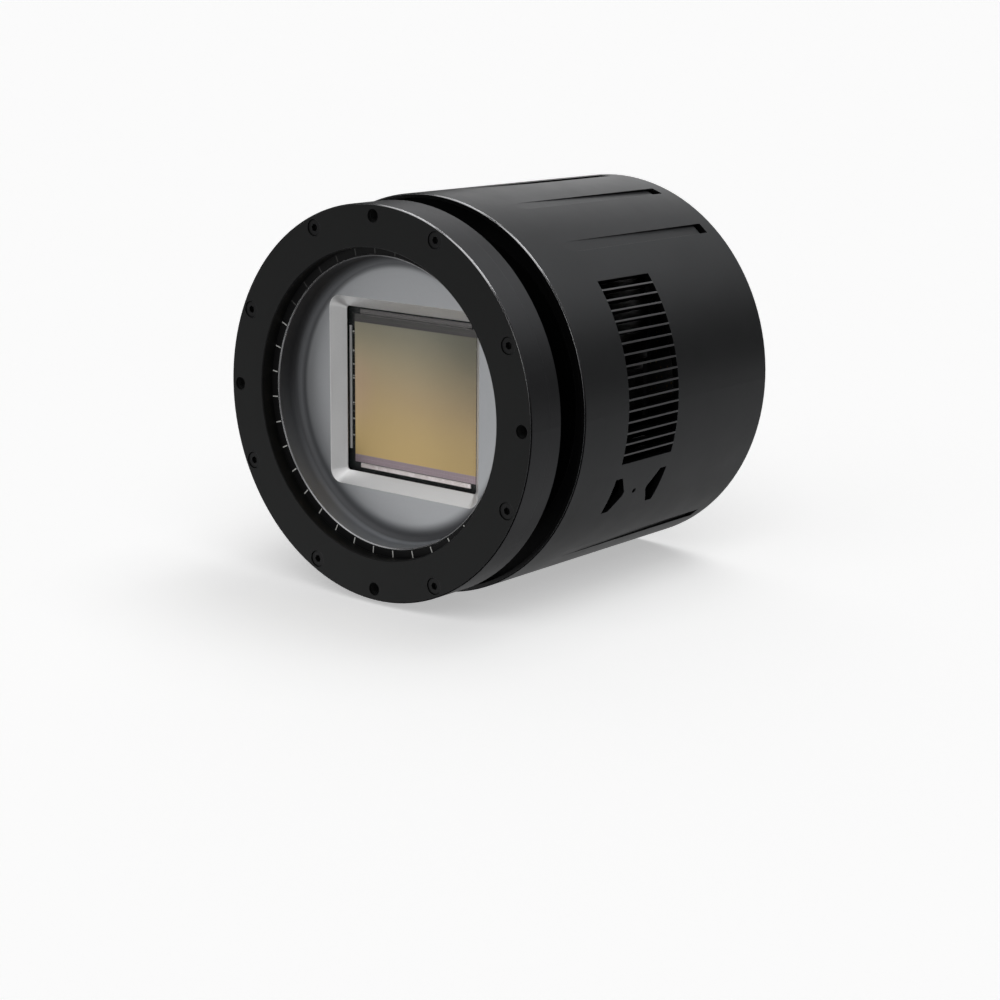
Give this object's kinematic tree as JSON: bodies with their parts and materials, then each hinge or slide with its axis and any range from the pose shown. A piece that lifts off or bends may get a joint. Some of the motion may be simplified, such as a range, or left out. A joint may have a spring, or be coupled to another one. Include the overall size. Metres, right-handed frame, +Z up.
{
  "type": "cooled astronomy camera",
  "caption": "Cylindrical cooled camera: drilled front flange around a square sensor in a pale chamber, dark neck, vented body sleeve and fan-cooled rear.",
  "frame": {"origin": "centre of the front flange face, on the optical axis", "axes": "+Y along the optical axis towards the rear cover, +Z up, +X to the right seen from the front; light enters along +Y"},
  "size_m": [0.18, 0.1806, 0.18],
  "materials": {
    "flange_black": "satin black anodised",
    "screw_black": "black oxide",
    "ring_black": "matte black anodised",
    "mark_white": "matte paint fill",
    "satin_aluminium": "bead-blasted satin",
    "steel": "plain",
    "black_rubber": "matte",
    "window_glass": "anti-reflection coated",
    "black_ceramic": "fired ceramic, matte",
    "sensor_gold": "polished silicon with a tan tint",
    "bond_ceramic": "fired ceramic, pale",
    "gold_pads": "gold plated",
    "black_plastic": "moulded",
    "circuit_board": "solder mask",
    "chip_plastic": "moulded",
    "brass": "turned",
    "flex_film": "polyimide film",
    "graphite": "soft sheet",
    "copper": "machined copper",
    "nylon": "natural",
    "white_ceramic": "fired ceramic, white",
    "pellet_grey": "sintered",
    "foam": "closed cell",
    "neck_black": "matte black anodised",
    "sink_aluminium": "dark anodised",
    "cable_grey": "ribbon",
    "body_anodised": "satin dark anodised",
    "fan_plastic": "moulded",
    "bearing_steel": "ground",
    "socket_metal": "nickel plated",
    "gold_brass": "gold plated",
    "lamp_green": "clear tinted"
  },
  "bodies": {
    "camera": {"front_flange": "flange_black", "flange_screws": "screw_black", "chamber_plate": "satin_aluminium", "chamber_plate_screws": "steel", "chamber_seal": "black_rubber", "window_seal": "black_rubber", "window_glass": "window_glass", "sensor_package": "black_ceramic", "sensor_die": "sensor_gold", "bond_strips": "bond_ceramic", "bond_pads": "gold_pads", "sensor_socket": "black_plastic", "sensor_board": "circuit_board", "sensor_chips": "chip_plastic", "sensor_standoffs": "brass", "sensor_board_screws": "steel", "sensor_flex": "flex_film", "thermal_pad": "graphite", "cold_finger": "copper", "clamp_screws": "steel", "clamp_washers": "nylon", "tec_cold_plate": "white_ceramic", "tec_pellets": "pellet_grey", "tec_hot_plate": "white_ceramic", "insulation_ring": "foam", "chamber_housing": "neck_black", "purge_plug": "steel", "purge_seal": "black_rubber", "rear_chamber_seal": "black_rubber", "heat_sink": "sink_aluminium", "heat_sink_screws": "steel", "feedthroughs": "black_plastic", "ribbon_cables": "cable_grey", "support_posts": "steel", "body_shell": "body_anodised", "rear_cover": "body_anodised", "rear_cover_screws": "screw_black", "fan_frame": "fan_plastic", "fan_stator": "copper", "fan_bearings": "bearing_steel", "fan_screws": "screw_black", "main_board": "circuit_board", "main_chips": "chip_plastic", "power_board": "circuit_board", "power_parts": "chip_plastic", "card_guides": "black_plastic", "guide_screws": "steel", "data_socket": "socket_metal", "fibre_socket": "socket_metal", "sync_sockets": "gold_brass", "power_socket": "socket_metal", "aux_socket": "socket_metal", "status_lamp": "lamp_green"},
    "fan": {"fan_rotor": "fan_plastic", "fan_shaft": "bearing_steel"},
    "index_ring": {"scale_ring": "ring_black", "scale_marks": "mark_white"}
  },
  "joints": [
    {"name": "fan_spin", "type": "hinge", "parent": "camera", "child": "fan", "pos_m": [0, 0.155, 0], "axis": [0, 1, 0], "continuous": true},
    {"name": "index_ring_turn", "type": "hinge", "parent": "camera", "child": "index_ring", "pos_m": [0, 0.0082, 0], "axis": [0, 1, 0], "continuous": true}
  ]
}
